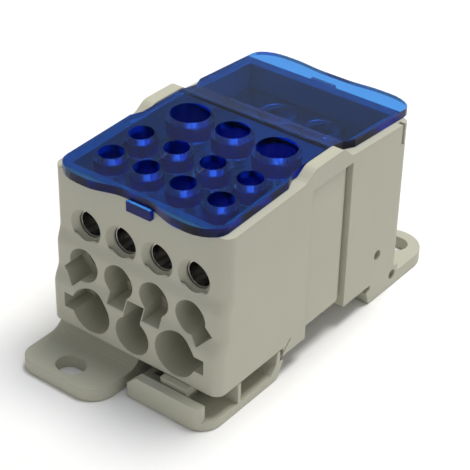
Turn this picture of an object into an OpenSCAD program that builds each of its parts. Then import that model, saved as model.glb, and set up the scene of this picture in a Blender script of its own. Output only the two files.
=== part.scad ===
// Power distribution block: one heavy feeder in, eleven smaller outputs out.
// Frame: +Z up, underside at Z = 0, origin midway between the ends of the two
// fixing ears; outputs face -Y, the feeder enters from +Y.

/* [Body] */
// Width over both side walls
body_w = 47; // [46:0.5:54]
// Length over both fixing ears
total_l = 96; // [95:0.5:104]
// Height of the side walls at the hump's foot
rim_h = 46.2; // [45.6:0.2:50]
// Thickness of the side walls beside the metal block
side_wall = 3.9; // [3.4:0.1:4.4]
// Thickness of the rear wall
rear_wall = 3; // [2:0.2:4]
// Thickness of the front wall in front of the upper outputs
front_wall = 1.8; // [1.4:0.1:2.4]
// Rise of the middle of each side wall above the rim
hump_rise = 2.2; // [1:0.2:4]
// Thickness of the risen part of each side wall
hump_wall = 3; // [2.2:0.1:3.2]
// Step of the front face from the upper to the middle outputs
front_step_1 = 1.1; // [0.4:0.1:2]
// Step of the front face from the middle to the lower outputs
front_step_2 = 1.5; // [0.4:0.1:2.5]
// Radius of the front and rear vertical edges
corner_r = 2.4; // [1:0.2:4]

/* [Fixing ears] */
// Reach of the front ear beyond the upper front face
front_reach = 14.2; // [13:0.2:16]
// Reach of the rear ear beyond the rear wall
rear_reach = 15.5; // [14:0.2:18]
// Thickness of both ears
ear_t = 3; // [2.4:0.1:4]
// Width of the fixing slots
slot_w = 5.7; // [4.5:0.1:6.2]
// Length of the fixing slots, end to end
slot_l = 7.2; // [6.6:0.1:8]
// Distance of the front slot's centre from the ear's end
slot_inset = 5; // [4.6:0.1:6]
// Width of the round-ended rear ear
rear_ear_w = 14.4; // [12.4:0.2:18]

/* [Rail] */
// Width of the mounting rail
rail_w = 35; // [34.6:0.1:35.4]
// Thickness of the rail's flanges
rail_t = 1; // [0.8:0.1:1.5]
// Place of the rail's centre line behind the origin
rail_y = 2.9; // [2:0.1:4]
// Height of the face that rests on the rail
seat_h = 5.2; // [4.6:0.1:5.8]
// How far each hook reaches under the rail
hook_bite = 1.1; // [0.8:0.1:1.6]

/* [Outputs] */
// Spacing of the upper and middle outputs
pitch = 9.8; // [9.6:0.1:10.4]
// Spacing of the lower outputs
lower_pitch = 11.8; // [11.4:0.1:12.4]
// Height of the upper outputs
upper_z = 32.9; // [32.4:0.1:33.4]
// Height of the middle outputs
middle_z = 23.7; // [23.3:0.1:24.1]
// Height of the outer lower outputs
lower_z = 13.6; // [13.4:0.1:14]
// Height of the centre lower output
lower_mid_z = 12.7; // [12.6:0.1:13]
// Wire bore of the upper outputs
upper_bore = 5.8; // [5.4:0.1:6]
// Wire bore of the middle outputs and of the centre lower one
middle_bore = 6.6; // [5.6:0.1:7]
// Wire bore of the outer lower outputs
lower_bore = 9.2; // [8:0.1:9.6]
// Mouth of the upper outputs in the plastic
upper_mouth = 6.4; // [5.8:0.1:6.8]
// Lead-in of the upper outputs at the front face
upper_funnel = 8.4; // [7.6:0.1:8.8]
// Mouth of the middle outputs in the plastic
middle_mouth = 7.9; // [7.2:0.1:8.2]
// Mouth of the outer lower outputs in the plastic
lower_mouth = 10.8; // [10:0.1:11]
// Mouth of the centre lower output in the plastic
lower_mid_mouth = 9.2; // [8.6:0.1:9.3]
// Width of the wide keyways beside the mouths
key_w = 4.6; // [3.8:0.1:5]
// Width of the narrow keyways beside the mouths
key_narrow_w = 3.7; // [3:0.1:4.2]
// Depth of the keyways behind the front face
key_depth = 7; // [4:0.5:9]

/* [Metal block] */
// Height of the metal block's underside
block_z = 7.2; // [6.8:0.1:7.5]
// Height of the metal block's top
block_top = 38; // [37:0.1:39]
// Set-back of each lower step of the metal block
step_y = 10.2; // [9.6:0.1:10.8]
// Height of the ledge above the middle outputs
ledge_1 = 28.6; // [28.2:0.1:29]
// Height of the ledge above the lower outputs
ledge_2 = 19; // [18.9:0.1:19.2]
// Bore for the round feeder cable
feeder_bore = 19; // [16:0.2:20]
// Width of the slot for a flat feeder bar
bar_w = 24.5; // [20:0.5:26]
// Height of the slot for a flat feeder bar
bar_h = 8.5; // [6:0.5:9]
// Height of the feeder's axis
feeder_z = 19; // [18:0.2:20]
// Depth of the feeder's bore in the metal
feeder_depth = 17; // [14:0.5:18]
// Clearance between the metal block and the housing
block_gap = 0.2; // [0.1:0.05:0.35]

/* [Screws] */
// Diameter of the eight small screws
small_screw = 5.2; // [4.6:0.1:5.4]
// Diameter of the centre lower screw
mid_screw = 7.2; // [6.6:0.1:7.6]
// Diameter of the two large output screws
large_screw = 8.6; // [7.6:0.1:8.8]
// Diameter of the two feeder screws
feeder_screw = 10; // [9:0.1:11]
// Spacing of the feeder screws
feeder_pitch = 12; // [11.4:0.1:13]
// Height of the output screws' tops when fully open
screw_top = 42.2; // [41.6:0.1:42.6]
// Distance of the first screw row behind the upper front face
row_a_y = 8.6; // [8.2:0.1:9]
// Distance from the first screw row to the second
row_ab = 9.7; // [9.4:0.1:10]
// Distance from the second screw row to the third
row_bc = 13.1; // [12.6:0.1:13.6]
// Distance of the feeder screws from the rear wall's outer face
feeder_screw_y = 9.5; // [9:0.1:10.5]
// Radial clearance of each screw in its thread
thread_gap = 0.06; // [0.03:0.01:0.1]

/* [Cover] */
// Thickness of the cover plate
cover_t = 2; // [1.6:0.1:2.6]
// Inset of the cover from the body's sides
cover_inset = 2; // [1.2:0.1:2.6]
// Clearance between the collars and the tops of the open screws
collar_gap = 0.6; // [0.4:0.1:1.2]
// Wall of the collars
collar_wall = 0.9; // [0.7:0.1:1]
// Clearance of the screwdriver holes round the small screws
driver_gap = 0.25; // [0.1:0.05:0.4]
// Clearance between the cover's tabs and the end walls
tab_gap = 0.15; // [0.1:0.05:0.4]
// Width of the cover's tabs
tab_w = 6.4; // [4:0.2:9]
// Height of the cover's tabs below the plate
tab_h = 2.4; // [1.6:0.2:4]

/* [Latch] */
// Reach of the latch beyond the lower front face
latch_reach = 4.1; // [3:0.1:5.5]
// Height of the latch's front lip
latch_lip_h = 6; // [4.5:0.1:6.4]
// Thickness of the latch's floor
latch_floor = 2; // [1.6:0.1:2.4]
// Width of the latch's guide bar
guide_w = 7; // [5:0.2:9]
// Clearance between the latch and its guides
guide_gap = 0.25; // [0.15:0.05:0.35]

/* [Waist] */
// Length of the set-back waist in each side wall
waist_l = 15; // [10:0.5:18]
// Set-back of the waist
waist_in = 0.4; // [0.2:0.1:1]
// Height of the waist's lower edge
waist_z = 8.1; // [7.6:0.1:9]
// Height of the waist's upper edge
waist_top = 43.5; // [38:0.5:44.5]

/* [Hidden] */

CREAM = [0.72, 0.71, 0.64];
BLUE = [0.05, 0.15, 0.75, 0.6];
NICKEL = [0.75, 0.75, 0.77];
STEEL = [0.62, 0.63, 0.65];
$fn = 48;
EPS = 0.01;
REACH = 100;

// Outer faces
half = body_w / 2;
y_front = -total_l / 2 + front_reach;
y_front_mid = y_front - front_step_1;
y_front_low = y_front_mid - front_step_2;
y_rear = total_l / 2 - rear_reach;
y_join = y_front + corner_r;
skirt_z = seat_h + 2.2;
s_curve_h = 4.6;

// Rail and waist
rail_front = rail_y - rail_w / 2;
rail_rear = rail_y + rail_w / 2;
hook_top = seat_h - rail_t - 0.1;
seat_front = rail_front + 1;
waist_y0 = rail_y - 8.3;
waist_y1 = waist_y0 + waist_l;

// Rim of the side walls, which falls a little towards both ends
hump_foot = 5;
hump_y0 = waist_y0 - 3.1;
hump_y1 = waist_y1 + 0.4;
front_fall = 0.9;
rear_drop = 0.9;
rear_fall = 1.3;
RIM = [[y_front_low, rim_h - front_fall], [y_join, rim_h - front_fall], [hump_y0, rim_h],
    [hump_y1 - hump_foot, rim_h], [hump_y1, rim_h - rear_drop], [y_rear, rim_h - rear_drop - rear_fall]];

// Metal block and its cavity
block_half = half - side_wall - block_gap;
block_y = y_front + front_wall + block_gap;
block_rear = y_rear - rear_wall - block_gap;
row_a = y_front + row_a_y;
row_b = row_a + row_ab;
row_c = row_b + row_bc;
row_f = y_rear - feeder_screw_y;
blind_end = 4.2;

// Ears
ear_inner = 0.4;
ear_r_outer = 4.2;
ear_r_inner = 6;
slot_x = (half + ear_inner) / 2;

// Latch
latch_x0 = 1.6;
latch_front = y_front_low - latch_reach;
lip_t = 2.2;
guide_x = (latch_x0 + half) / 2;
guide_stem = guide_w / 2;
guide_z = 5;
guide_t = 1.4;
guide_leg = 1.4;
guide_y0 = y_front + 1;
guide_y1 = rail_front - 6.2;

// Places of each row's outputs across the block
function across(count, spacing) = [for (i = [0 : count - 1]) (i - (count - 1) / 2) * spacing];
upper_x = across(4, pitch);
lower_x = across(3, lower_pitch);
feeder_x = across(2, feeder_pitch);
function lower_axis_z(i) = i == 1 ? lower_mid_z : lower_z;
function lower_wire(i) = i == 1 ? middle_bore : lower_bore;
function lower_thread(i) = i == 1 ? mid_screw : large_screw;

// A smooth step from 0 to 1 as t goes from 0 to 1
function ease(t) = (1 - cos(180 * min(1, max(0, t)))) / 2;

// Height of the rim at a place along the body
function rim_z(y) = lookup(y, RIM);

// Extrudes a profile drawn in Y and Z along X, from x0 to x1
module along_x(x0, x1) {
    translate([x0, 0, 0]) rotate([90, 0, 90]) linear_extrude(x1 - x0) children();
}

// A rod along Y, from y0 to y1
module rod_y(x, z, r, y0, y1) {
    translate([x, y0, z]) rotate([-90, 0, 0]) cylinder(r = r, h = y1 - y0);
}

module block_box(low, high) {
    translate(low) cube(high - low);
}

// Front face from bottom to top, as pairs of place and height: three terraces
// joined by two soft steps
soft_steps = 6;
FRONT = concat(
    [[y_front_low, skirt_z]],
    [for (i = [soft_steps : -1 : 0]) [y_front_mid - front_step_2 * ease(i / soft_steps),
        ledge_2 + s_curve_h / 2 - s_curve_h * i / soft_steps]],
    [for (i = [soft_steps : -1 : 0]) [y_front - front_step_1 * ease(i / soft_steps),
        ledge_1 + s_curve_h / 2 - s_curve_h * i / soft_steps]],
    [[y_front, rim_h - front_fall]]);

// Outline of the front face at one height: a straight face between two round corners
function front_outline(y, z) = concat(
    [[-half, y_join + EPS, z]],
    [for (a = [0 : 15 : 90]) [-half + corner_r * (1 - cos(a)), y + corner_r * (1 - sin(a)), z]],
    [for (a = [90 : -15 : 0]) [half - corner_r * (1 - cos(a)), y + corner_r * (1 - sin(a)), z]],
    [[half, y_join + EPS, z]]);

// Front of the body: its outlines stacked into one skin, with a flat cap at each end
module front_skin() {
    count = len(front_outline(0, 0));
    last = len(FRONT) - 1;
    polyhedron(
        points = [for (level = FRONT) each front_outline(level[0], level[1])],
        faces = concat(
            [[for (i = [0 : count - 1]) i]],
            [[for (i = [count - 1 : -1 : 0]) last * count + i]],
            [for (j = [0 : last - 1], i = [0 : count - 1]) [j * count + (i + 1) % count, j * count + i,
                (j + 1) * count + i, (j + 1) * count + (i + 1) % count]]));
}

// Side view of the body behind its front skin
module body_profile() {
    polygon(concat(
        [[y_join, rim_h - front_fall], [y_join, skirt_z], [seat_front, skirt_z]],
        [[seat_front, seat_h], [y_rear, seat_h]],
        [for (i = [len(RIM) - 1 : -1 : 2]) RIM[i]]));
}

// Plan of the body behind its front skin
module body_plan() {
    side = concat(
        [[half, y_join]],
        [for (a = [0 : 15 : 90])
            [half - corner_r + corner_r * cos(a), y_rear - corner_r + corner_r * sin(a)]]);
    polygon(concat(side, [for (i = [len(side) - 1 : -1 : 0]) [-side[i][0], side[i][1]]]));
}

// A side wall's hump: a soft rise over the waist
module hump(side) {
    x0 = side > 0 ? half - hump_wall : -half;
    low = rim_h - rear_drop;
    along_x(x0, x0 + hump_wall) polygon(concat(
        [[hump_y1, low - 1], [hump_y0, low - 1]],
        [for (i = [0 : 6]) [hump_y0 + hump_foot * i / 6, rim_h + hump_rise * ease(i / 6)]],
        [for (i = [0 : 6])
            [hump_y1 - hump_foot * (1 - i / 6), low + (hump_rise + rear_drop) * ease(1 - i / 6)]]));
}

// The shallow waist in a side wall, which curves in just before the rear part
module waist_cut() {
    waist_in_deep = 2.2;
    waist_curve = 4;
    linear_extrude(waist_top) polygon(concat(
        [[half + 1, waist_y0], [half - waist_in, waist_y0]],
        [for (i = [0 : 6]) [half - waist_in - waist_in_deep * (1 - cos(15 * i)),
            waist_y1 - waist_curve + waist_curve * sin(15 * i)]],
        [[half + 1, waist_y1]]));
}

// Plan of an ear that points to -Y, with two corner radii
module ear_plan(x0, x1, y0, y1, r_left, r_right) {
    difference() {
        translate([x0, y0]) square([x1 - x0, y1 - y0]);
        translate([x0 - EPS, y0 - EPS]) square([r_left + EPS, r_left + EPS]);
        translate([x1 - r_right, y0 - EPS]) square([r_right + EPS, r_right + EPS]);
    }
    translate([x0 + r_left, y0 + r_left]) circle(r_left);
    translate([x1 - r_right, y0 + r_right]) circle(r_right);
}

module slot_cut() {
    travel = (slot_l - slot_w) / 2;
    block_box([-travel, -slot_w / 2, -EPS], [travel, slot_w / 2, ear_t + EPS]);
    for (side = [-1, 1]) translate([side * travel, 0, -EPS]) cylinder(d = slot_w, h = ear_t + 2 * EPS);
}

module front_ear() {
    base_y = y_front + 1;
    fillet = skirt_z - ear_t;
    difference() {
        linear_extrude(ear_t)
            ear_plan(-half, -ear_inner, -total_l / 2, base_y + EPS, ear_r_outer, ear_r_inner);
        translate([-slot_x, -total_l / 2 + slot_inset, 0]) slot_cut();
    }
    along_x(-half, -ear_inner) polygon(concat(
        [[rail_front - 0.6, 0], [rail_front - 0.6, skirt_z + EPS]],
        [for (a = [0 : 15 : 90]) [base_y - fillet + fillet * cos(a), skirt_z - fillet * sin(a)]],
        [[base_y - fillet, ear_t / 2], [base_y - fillet, 0]]));
}

module rear_ear() {
    end_r = rear_ear_w / 2;
    ear_x = half - end_r;
    end_y = total_l / 2 - end_r;
    difference() {
        union() {
            translate([ear_x, end_y, 0]) cylinder(r = end_r, h = ear_t);
            block_box([ear_x - end_r, y_rear - 3, 0], [half, end_y, ear_t]);
        }
        translate([ear_x, end_y + 1.4, 0]) slot_cut();
    }
}

// Fixed hook that grips the rail's rear flange
module rear_foot() {
    along_x(-half, half) polygon([[rail_rear - hook_bite, hook_top - 0.7], [rail_rear + 0.1, 0], [y_rear, 0],
        [y_rear, seat_h + EPS], [rail_rear + 0.3, seat_h + EPS], [rail_rear + 0.3, hook_top]]);
}

// Two hanging rails that carry the latch's guide bar
module latch_guides() {
    inner = guide_w / 2 + guide_gap;
    lip = guide_stem / 2 + guide_gap;
    for (side = [-1, 1]) translate([guide_x, 0, 0]) scale([side, 1, 1]) {
        block_box([inner, guide_y0, guide_z - guide_gap - guide_t],
            [inner + guide_leg, guide_y1, skirt_z + EPS]);
        block_box([lip, guide_y0, guide_z - guide_gap - guide_t],
            [inner + EPS, guide_y1, guide_z - guide_gap]);
    }
}

// A keyway beside a wire mouth, turned to an angle and cut inwards from the front
module keyway(x, z, angle, width, reach, y0) {
    translate([x, y0 - EPS, z]) rotate([0, -angle, 0]) translate([0, 0, -width / 2])
        cube([reach, key_depth, width]);
}

module wire_mouths() {
    key_out = 1.9;
    for (x = upper_x) {
        rod_y(x, upper_z, upper_mouth / 2, y_front - 1, block_y + 1);
        translate([x, y_front - EPS, upper_z]) rotate([-90, 0, 0])
            cylinder(r1 = upper_funnel / 2, r2 = upper_mouth / 2, h = front_wall * 0.8);
        rod_y(x, middle_z, middle_mouth / 2, y_front_low, block_y + step_y + 1);
    }
    key_turn = [225, 270, 270, 315];
    for (i = [0 : 3])
        keyway(upper_x[i], middle_z, key_turn[i], key_w, middle_mouth / 2 + key_out, y_front_low);
    for (i = [0 : 2]) {
        mouth = i == 1 ? lower_mid_mouth : lower_mouth;
        rod_y(lower_x[i], lower_axis_z(i), mouth / 2, y_front_low - 1, block_y + 2 * step_y + 1);
    }
    keyway(lower_x[0], lower_z, 180, key_narrow_w, lower_mouth / 2 + 2.2, y_front_low);
    keyway(lower_x[1], lower_mid_z, 90, key_w, lower_mid_mouth / 2 + 3, y_front_low);
    keyway(lower_x[2], lower_z, 0, key_narrow_w, lower_mouth / 2 + 2.2, y_front_low);
}

// The stepped room that the metal block drops into from above
module block_room() {
    room = block_half + block_gap;
    y0 = block_y - block_gap;
    y1 = block_rear + block_gap;
    block_box([-room, y0, ledge_1 - block_gap], [room, y1, REACH]);
    block_box([-room, y0 + step_y, ledge_2 - block_gap], [room, y1, REACH]);
    block_box([-room, y0 + 2 * step_y, block_z - block_gap], [room, y1, REACH]);
}

// Opening in the rear wall for a round cable or a flat bar
module feeder_mouth() {
    mouth_gap = 0.5;
    rod_y(0, feeder_z, feeder_bore / 2 + mouth_gap, block_rear - 1, y_rear + 1);
    block_box([-bar_w / 2 - mouth_gap, block_rear - 1, feeder_z - bar_h / 2 - mouth_gap],
        [bar_w / 2 + mouth_gap, y_rear + 1, feeder_z + bar_h / 2 + mouth_gap]);
}

// Small cuts in the side walls: core-pin holes, the rail seat's slit and the rear slot
module side_details(side) {
    pin_r = 1.3;
    pin_depth = 3;
    slot_deep = 5;
    scale([side, 1, 1]) {
        for (pin = [[9.7, 12.6], [2.3, 3.2]]) translate([half - pin_depth, y_rear - pin[0], pin[1]])
            rotate([0, 90, 0]) cylinder(r = pin_r, h = pin_depth + 1);
        waist_cut();
        along_x(half - 3, half + 1) polygon([[seat_front - 1, skirt_z - 2], [seat_front - 0.3, skirt_z - 2],
            [seat_front + 2.8, skirt_z + 1], [seat_front + 2.4, skirt_z + 1.2]]);
        block_box([half - 1.5, y_rear - 3.3, rim_z(y_rear) - slot_deep], [half + 1, y_rear - 2.3, REACH]);
        block_box([half - 3, waist_y0, 0], [half + 1, waist_y1, waist_z]);
    }
}

module housing() {
    color(CREAM) difference() {
        union() {
            intersection() {
                linear_extrude(REACH) body_plan();
                along_x(-half, half) body_profile();
            }
            front_skin();
            hump(1);
            hump(-1);
            front_ear();
            rear_ear();
            rear_foot();
            latch_guides();
        }
        block_room();
        wire_mouths();
        feeder_mouth();
        side_details(1);
        side_details(-1);
    }
}

module screw_hole(x, y, z, d) {
    translate([x, y, z]) cylinder(r = d / 2 + thread_gap, h = block_top - z + 1);
}

module terminal_block() {
    bar_half = bar_w / 2;
    y_mid = block_y + step_y;
    y_low = block_y + 2 * step_y;
    color(NICKEL) difference() {
        union() {
            block_box([-block_half, block_y, ledge_1], [block_half, block_rear, block_top]);
            block_box([-block_half, y_mid, ledge_2], [block_half, block_rear, ledge_1 + EPS]);
            block_box([-block_half, y_low, block_z], [block_half, block_rear, ledge_2 + EPS]);
        }
        for (x = upper_x) {
            rod_y(x, upper_z, upper_bore / 2, block_y - 1, row_a + blind_end);
            rod_y(x, middle_z, middle_bore / 2, y_mid - 1, row_b + blind_end);
            screw_hole(x, row_a, upper_z, small_screw);
            screw_hole(x, row_b, middle_z, small_screw);
        }
        for (i = [0 : 2]) {
            rod_y(lower_x[i], lower_axis_z(i), lower_wire(i) / 2, y_low - 1, row_c + blind_end + 2);
            screw_hole(lower_x[i], row_c, lower_axis_z(i), lower_thread(i));
        }
        rod_y(0, feeder_z, feeder_bore / 2, block_rear - feeder_depth, block_rear + 1);
        block_box([-bar_half, block_rear - feeder_depth, feeder_z - bar_h / 2],
            [bar_half, block_rear + 1, feeder_z + bar_h / 2]);
        for (x = feeder_x) screw_hole(x, row_f, feeder_z, feeder_screw);
    }
}

// A headless clamping screw with chamfered ends, from z0 up to z1
module screw_body(d, z0, z1) {
    edge = 0.08 * d;
    rotate_extrude() polygon([[0, z0], [d / 2 - edge, z0], [d / 2, z0 + edge], [d / 2, z1 - edge],
        [d / 2 - edge, z1], [0, z1]]);
}

module slotted_screw(x, y, z0, d) {
    slot_turn = -52;
    slot_width = 0.17 * d;
    slot_deep = 0.3 * d;
    color(STEEL) translate([x, y, 0]) difference() {
        screw_body(d, z0, screw_top);
        rotate([0, 0, slot_turn]) block_box([-d, -slot_width / 2, screw_top - slot_deep],
            [d, slot_width / 2, screw_top + 1]);
    }
}

// Screw tips stop just above the wire bores while the outputs are open
tip_gap = 0.1;

module upper_screw(i) {
    slotted_screw(upper_x[i - 1], row_a, upper_z + upper_bore / 2 + tip_gap, small_screw);
}

module middle_screw(i) {
    slotted_screw(upper_x[i - 1], row_b, middle_z + middle_bore / 2 + tip_gap, small_screw);
}

module lower_screw(i) {
    tip = lower_axis_z(i - 1) + lower_wire(i - 1) / 2 + tip_gap;
    slotted_screw(lower_x[i - 1], row_c, tip, lower_thread(i - 1));
}

// Socket screws that press on the feeder
module feeder_screw_part(i) {
    socket_deep = 4.5;
    top = block_top + 0.3;
    color(STEEL) translate([feeder_x[i - 1], row_f, 0]) difference() {
        screw_body(feeder_screw, feeder_z + feeder_bore / 2 + tip_gap, top);
        translate([0, 0, top - socket_deep])
            cylinder(d = 0.6 * feeder_screw, h = socket_deep + 1, $fn = 6);
    }
}

// Plan of the cover: shallow lobes at both ends and a narrower stretch between the humps
module cover_plan() {
    wide = half - cover_inset;
    narrow = half - hump_wall - 0.3;
    round_x = 7;
    round_y = 5;
    lobe_x = wide - round_x;
    blend = 3;
    front = [for (i = [0 : 12]) [lobe_x * i / 12, y_front - 0.6 - 2 * ease((lobe_x * i / 12 - 3) / 9)]];
    front_corner = [for (a = [15 : 15 : 90]) [lobe_x + round_x * sin(a), y_front + 2.4 - round_y * cos(a)]];
    waist = [[wide, hump_y0 - blend], [narrow, hump_y0], [narrow, hump_y1], [wide, hump_y1 + blend]];
    rear_corner = [for (a = [0 : 15 : 75]) [lobe_x + round_x * cos(a), y_rear + 0.5 + 4.3 * sin(a)]];
    rear = [for (i = [12 : -1 : 0]) [lobe_x * i / 12, y_rear + 4 + 0.8 * ease((lobe_x * i / 12 - 3) / 9)]];
    side = concat(front, front_corner, waist, rear_corner, rear);
    polygon(concat(side, [for (i = [len(side) - 2 : -1 : 1]) [-side[i][0], side[i][1]]]));
}

// Side view of the cover plate, which follows the rim
module cover_profile() {
    over = 8;
    low = concat([[y_front - over, RIM[0][1]]], [for (i = [1 : len(RIM) - 1]) RIM[i]],
        [[y_rear + over, RIM[5][1] - over * rear_fall / (y_rear - hump_y1)]]);
    polygon(concat(low, [for (i = [len(low) - 1 : -1 : 0]) low[i] + [0, cover_t]]));
}

module collar(x, y, d) {
    z = screw_top + collar_gap;
    translate([x, y, z]) cylinder(d = d + 2 * collar_wall, h = rim_z(y) - z + 0.5);
}

module driver_hole(x, y, d) {
    translate([x, y, 0]) cylinder(d = d, h = REACH);
}

module cover() {
    small = small_screw + 2 * driver_gap;
    tab_y = y_front - tab_gap;
    tab_back = y_rear + tab_gap;
    tab_t = 1.2;
    tab_x = 1.2;
    color(BLUE) difference() {
        union() {
            intersection() {
                linear_extrude(REACH) cover_plan();
                along_x(-half, half) cover_profile();
            }
            for (x = upper_x) {
                collar(x, row_a, small);
                collar(x, row_b, small);
            }
            for (i = [0 : 2]) collar(lower_x[i], row_c, lower_thread(i) + 2 * driver_gap);
            translate([tab_x, tab_y - tab_t, rim_z(y_front) - tab_h])
                block_box([-tab_w / 2, 0, 0], [tab_w / 2, tab_t, tab_h + EPS]);
            translate([-tab_x, tab_back, rim_z(y_rear) - tab_h])
                block_box([-tab_w / 2, 0, 0], [tab_w / 2, tab_t, tab_h]);
        }
        for (x = upper_x) {
            driver_hole(x, row_a, small);
            driver_hole(x, row_b, small);
        }
        for (i = [0 : 2]) driver_hole(lower_x[i], row_c, lower_thread(i) + 2 * driver_gap);
    }
}

// Sprung foot that grips the rail's front flange
module din_latch() {
    x1 = half;
    back = rail_front - 0.1;
    corner = 5;
    lip_x1 = half - 2;
    lip_cut = 2.8;
    rib_y = y_front + 4.2;
    top = skirt_z - 0.2;
    color(CREAM) union() {
        linear_extrude(latch_floor) difference() {
            ear_plan(latch_x0, x1, latch_front, back - 2, 0.6, corner);
            translate([latch_x0 + 1.4, y_front + 1]) square([guide_x - guide_w / 2 - latch_x0 - 2.6, 11]);
        }
        intersection() {
            linear_extrude(latch_lip_h) ear_plan(latch_x0, x1, latch_front, back - 2, 0.6, corner);
            translate([0, latch_front + lip_t, 0]) rotate([90, 0, 0]) linear_extrude(lip_t)
                polygon([[latch_x0, 0], [lip_x1, 0], [lip_x1, latch_lip_h],
                    [latch_x0 + lip_cut, latch_lip_h], [latch_x0, latch_lip_h - lip_cut]]);
        }
        along_x(latch_x0, x1) polygon([[back - 3.2, 0], [back - 1.2, 0], [rail_front, 1.6],
            [rail_front + hook_bite, hook_top - 0.4], [rail_front + hook_bite, hook_top], [back, hook_top],
            [back, top], [back - 0.9, top], [back - 1.4, 4], [back - 2.6, 2.6], [back - 3.2, latch_floor]]);
        block_box([guide_x - guide_stem / 2, guide_y0 - 5, latch_floor - EPS],
            [guide_x + guide_stem / 2, guide_y1, guide_z + EPS]);
        block_box([guide_x - guide_w / 2, guide_y0 - 5, guide_z], [guide_x + guide_w / 2, guide_y1, top]);
        block_box([guide_x + guide_w / 2 + guide_leg + 1, rib_y, latch_floor - EPS], [x1, rib_y + 1, top]);
    }
}

housing();
terminal_block();
cover();
din_latch();
for (i = [1 : 4]) {
    upper_screw(i);
    middle_screw(i);
}
for (i = [1 : 3])
    lower_screw(i);
for (i = [1 : 2])
    feeder_screw_part(i);
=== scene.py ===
import math

import bpy
from mathutils import Matrix, Vector


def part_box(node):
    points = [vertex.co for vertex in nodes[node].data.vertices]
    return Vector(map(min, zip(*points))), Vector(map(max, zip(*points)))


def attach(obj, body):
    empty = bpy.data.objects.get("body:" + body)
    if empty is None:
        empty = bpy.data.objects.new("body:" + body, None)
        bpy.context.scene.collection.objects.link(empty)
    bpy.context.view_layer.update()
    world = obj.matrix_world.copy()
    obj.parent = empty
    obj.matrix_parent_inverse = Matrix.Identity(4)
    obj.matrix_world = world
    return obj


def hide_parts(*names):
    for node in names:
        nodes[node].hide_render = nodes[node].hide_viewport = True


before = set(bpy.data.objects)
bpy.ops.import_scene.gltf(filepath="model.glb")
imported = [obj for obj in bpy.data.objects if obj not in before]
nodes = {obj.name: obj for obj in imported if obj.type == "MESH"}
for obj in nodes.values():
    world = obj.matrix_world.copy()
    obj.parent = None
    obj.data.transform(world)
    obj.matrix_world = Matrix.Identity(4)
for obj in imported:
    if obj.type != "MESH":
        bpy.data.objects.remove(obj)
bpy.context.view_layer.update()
bpy.ops.object.select_all(action="DESELECT")
scene = bpy.context.scene


# Housing: one injection moulding in cream, glass-filled polyamide, with the fixing
# ears and the rear rail hook moulded on. The mould's spark-eroded walls leave a
# fine matt grain, and thick places shade a little darker than thin ones.
class Finish:
    """Builds one material: sockets are wrapped so that shader maths reads as maths."""

    def __init__(self, name):
        self.material = bpy.data.materials.new(name)
        self.material.use_nodes = True
        self.tree = self.material.node_tree
        self.shader = self.tree.nodes["Principled BSDF"]
        self.place = self.node("ShaderNodeTexCoord")["Object"]

    def node(self, kind, settings=None, **inputs):
        """Adds a node. An input is given by its name, or as _0 for the first socket."""
        made = self.tree.nodes.new(kind)
        for key, value in (settings or {}).items():
            setattr(made, key, value)
        for key, value in inputs.items():
            socket = int(key[1:]) if key[1:].isdigit() else key
            self.feed(made.inputs[socket], value)
        return {out.name: Wire(self, out) for out in made.outputs if out.enabled}

    def feed(self, socket, value):
        if isinstance(value, Wire):
            self.tree.links.new(value.socket, socket)
        else:
            socket.default_value = value

    def set(self, name, value):
        self.feed(self.shader.inputs[name], value)

    def mix(self, factor, low, high):
        """A colour between low and high."""
        blended = self.node("ShaderNodeMix", {"data_type": "RGBA"}, _0=factor, _6=low, _7=high)
        return blended["Result"]

    def grain(self, scale, detail=2.0, place=None):
        return self.node("ShaderNodeTexNoise", None, Vector=place or self.place,
                         Scale=scale, Detail=detail, Roughness=0.55)["Fac"]

    def relief(self, height, depth, strength=1.0, edge=0.0):
        """Feeds the normal with a relief of the given depth and softly rounded edges."""
        extra = {}
        if edge:
            extra["Normal"] = self.node("ShaderNodeBevel", {"samples": 4}, Radius=edge)["Normal"]
        self.set("Normal", self.node("ShaderNodeBump", None, Height=height, Distance=depth,
                                     Strength=strength, **extra)["Normal"])


class Wire:
    """One output socket of a finish, with the maths operators that the finishes use."""

    def __init__(self, finish, socket):
        self.finish = finish
        self.socket = socket

    def maths(self, operation, a, b=0.0):
        return self.finish.node("ShaderNodeMath", {"operation": operation}, _0=a, _1=b)["Value"]

    def __add__(self, other):
        return self.maths("ADD", self, other)

    def __sub__(self, other):
        return self.maths("SUBTRACT", self, other)

    def __mul__(self, other):
        return self.maths("MULTIPLY", self, other)

    def __truediv__(self, other):
        return self.maths("DIVIDE", self, other)

    def __pow__(self, other):
        return self.maths("POWER", self, other)

    __radd__ = __add__
    __rmul__ = __mul__


def cream_plastic(name, tone):
    cream = Finish(name)
    cloud = cream.grain(70.0, 3.0)
    fleck = cream.grain(1400.0, 2.0)
    low = (0.445 * tone, 0.440 * tone, 0.352 * tone, 1)
    high = (0.505 * tone, 0.500 * tone, 0.408 * tone, 1)
    cream.set("Base Color", cream.mix(cloud * 0.7 + fleck * 0.3, low, high))
    cream.set("Roughness", 0.50 + fleck * 0.16)
    cream.set("IOR", 1.50)
    cream.set("Specular IOR Level", 0.42)
    cream.relief(cream.grain(3200.0, 3.0) * 0.7 + cloud * 0.3, 0.00004, 0.45, edge=0.00030)
    return cream.material


def dress(node, material):
    mesh = nodes[node].data
    mesh.materials.clear()
    mesh.materials.append(material)


dress("housing", cream_plastic("housing cream", 1.0))


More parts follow.
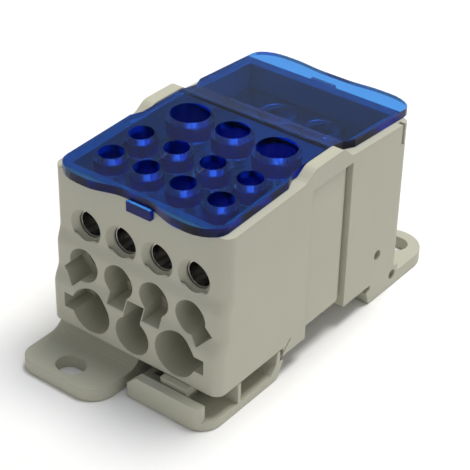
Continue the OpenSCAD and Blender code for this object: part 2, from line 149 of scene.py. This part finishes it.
# Terminal block: a stepped bar of brass, drilled for the wires and tapped for the
# clamping screws, then nickel plated. The plating is bright with faint mill marks
# along the bar and a warmer tone where it is thin.
plate = Finish("nickel plating")
smear = plate.grain(60.0, 4.0)
brushed = plate.node("ShaderNodeMapping", None, Vector=plate.place,
                     Scale=(2600.0, 160.0, 2600.0))["Vector"]
marks = plate.grain(1.0, 2.0, brushed)
plate.set("Base Color", plate.mix(smear, (0.60, 0.585, 0.555, 1), (0.80, 0.79, 0.76, 1)))
plate.set("Metallic", 1.0)
plate.set("Roughness", 0.14 + smear * 0.10 + marks * 0.06)
plate.relief(marks, 0.00002, 0.35, edge=0.00020)
dress("terminal_block", plate.material)


# Clamping screws: headless steel screws with one slot, zinc plated. They are turned
# and rolled, so the thread is a fine spiral relief and the top shows turning rings.
def turned_steel(name, centre, pitch, low, high):
    steel = Finish(name)
    local = steel.node("ShaderNodeMapping", None, Vector=steel.place,
                       Location=(-centre[0], -centre[1], 0.0))["Vector"]
    part = steel.node("ShaderNodeSeparateXYZ", None, Vector=local)
    turn = part["X"].maths("ARCTAN2", part["Y"], part["X"]) / (2 * math.pi)
    thread = part["X"].maths("PINGPONG", part["Z"] / pitch + turn, 0.5)
    reach = (part["X"] * part["X"] + part["Y"] * part["Y"]) ** 0.5
    rings = steel.node("ShaderNodeTexNoise", {"noise_dimensions": "1D"},
                       W=reach, Scale=5200.0, Detail=2.0)["Fac"]
    smear = steel.grain(420.0, 3.0)
    steel.set("Base Color", steel.mix(smear, low, high))
    steel.set("Metallic", 1.0)
    steel.set("Roughness", 0.22 + smear * 0.16)
    steel.relief(thread * 0.85 + rings * 0.15, pitch * 0.3, 0.5, edge=0.00012)
    return steel.material


def middle_of(node):
    low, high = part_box(node)
    return ((low[0] + high[0]) / 2, (low[1] + high[1]) / 2)


ROWS = [("upper_screw", 4, 0.0008), ("middle_screw", 4, 0.0008), ("lower_screw", 3, 0.00125)]
for row, count, pitch in ROWS:
    for i in range(1, count + 1):
        screw = f"{row}_{i}"
        dress(screw, turned_steel(f"zinc {screw}", middle_of(screw), pitch,
                                  (0.56, 0.57, 0.58, 1), (0.80, 0.81, 0.82, 1)))


# Feeder screws: thicker socket screws of the same steel, turned by a hexagon key.
for i in (1, 2):
    screw = f"feeder_screw_{i}"
    dress(screw, turned_steel(f"zinc {screw}", middle_of(screw), 0.0015,
                              (0.52, 0.53, 0.54, 1), (0.78, 0.79, 0.80, 1)))


# Rail latch: a second cream moulding, sprung by its own floor, that slides in two
# guides under the body. It is from another mould, so its tone is a shade warmer.
dress("din_latch", cream_plastic("latch cream", 1.02))


# Cover: clear polycarbonate dyed blue, moulded with a collar round each screwdriver
# hole. It is polished on its two broad faces, while the cut edges and the collars are duller
# and painted a deeper blue as painted shade. It rests on the side walls, so it stands a hair
# above their rim.
REST_GAP = 0.00003
MERGE = 0.000002
blue = Finish("clear blue polycarbonate")
ripple = blue.grain(160.0, 2.0)
upward = blue.node("ShaderNodeSeparateXYZ", None,
                   Vector=blue.node("ShaderNodeNewGeometry")["True Normal"])["Z"]
broad = upward.maths("GREATER_THAN", upward.maths("ABSOLUTE", upward), 0.7)
# Painted shade: faces that are not broad (the cut edges and collars) get a much darker blue,
# standing in for the long light path through them; broad faces get the lighter blue.
painted_edge_shade = (0.002, 0.022, 0.50, 1)
thin = blue.mix(ripple, (0.055, 0.300, 0.820, 1), (0.080, 0.340, 0.860, 1))
blue.set("Base Color", blue.mix(broad, painted_edge_shade, thin))
blue.set("Transmission Weight", 1.0)
blue.set("IOR", 1.30)
blue.set("Roughness", 0.27 + ripple * 0.03 - broad * 0.25)
blue.relief(ripple, 0.00006, 0.10)

cover = bpy.data.objects.new("cover_plate", nodes["cover"].data.copy())
scene.collection.objects.link(cover)
bpy.context.view_layer.objects.active = cover
cover.select_set(True)
bpy.ops.object.mode_set(mode="EDIT")
bpy.ops.mesh.select_all(action="SELECT")
bpy.ops.mesh.remove_doubles(threshold=MERGE)
bpy.ops.transform.translate(value=(0, 0, REST_GAP))
bpy.ops.object.mode_set(mode="OBJECT")
cover.data.materials.clear()
cover.data.materials.append(blue.material)
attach(cover, "cover")
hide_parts("cover")
cover.select_set(False)


# Table top: a wide sheet of plain white card under soft light from a large window
# overhead, with two small lamps that put glints in the metal.
bpy.ops.mesh.primitive_plane_add(size=4.0, location=(0, 0, -0.0002))
floor = bpy.context.object
floor.name = "table_top"
card = Finish("white card")
card.set("Base Color", card.mix(card.grain(300.0), (0.93, 0.93, 0.93, 1), (0.95, 0.95, 0.95, 1)))
card.set("Roughness", 0.9)
card.set("Specular IOR Level", 0.1)
floor.data.materials.append(card.material)
floor.select_set(False)


AIM = Vector((0, 0, 0.025))


def lamp(name, place, size, watts, tone=(1, 1, 1)):
    data = bpy.data.lights.new(name, "AREA")
    data.shape, data.size = "DISK", size
    data.energy, data.color = watts, tone
    made = bpy.data.objects.new(name, data)
    made.location = place
    made.rotation_euler = (AIM - made.location).to_track_quat("-Z", "Y").to_euler()
    scene.collection.objects.link(made)


lamp("window", (0.09, 0.22, 0.84), 0.40, 6.2, (1.0, 0.99, 0.97))
lamp("front glint", (0.10, -0.75, 0.45), 0.12, 0.15)
lamp("right glint", (0.70, -0.35, 0.40), 0.12, 0.15)

world = bpy.data.worlds.new("studio")
scene.world = world
world.use_nodes = True
sky = world.node_tree.nodes["Background"]
sky.inputs["Color"].default_value = (1, 1, 1, 1)
sky.inputs["Strength"].default_value = 0.38
scene.view_settings.view_transform = "Standard"


# Camera: a long lens from the front right and above, turned a little on its axis.
right = Vector((0.7906, 0.6120, 0.0202)).normalized()
back = Vector((0.5017, -0.6663, 0.5518)).normalized()
up = back.cross(right).normalized()
right = up.cross(back).normalized()
lens = bpy.data.cameras.new("camera")
lens.sensor_width = 36.0
lens.lens = 116.3
lens.clip_start = 0.01
camera = bpy.data.objects.new("camera", lens)
turn = Matrix((right, up, back)).transposed().to_4x4()
camera.matrix_world = Matrix.Translation((0.1719, -0.2291, 0.2094)) @ turn
scene.collection.objects.link(camera)
scene.camera = camera
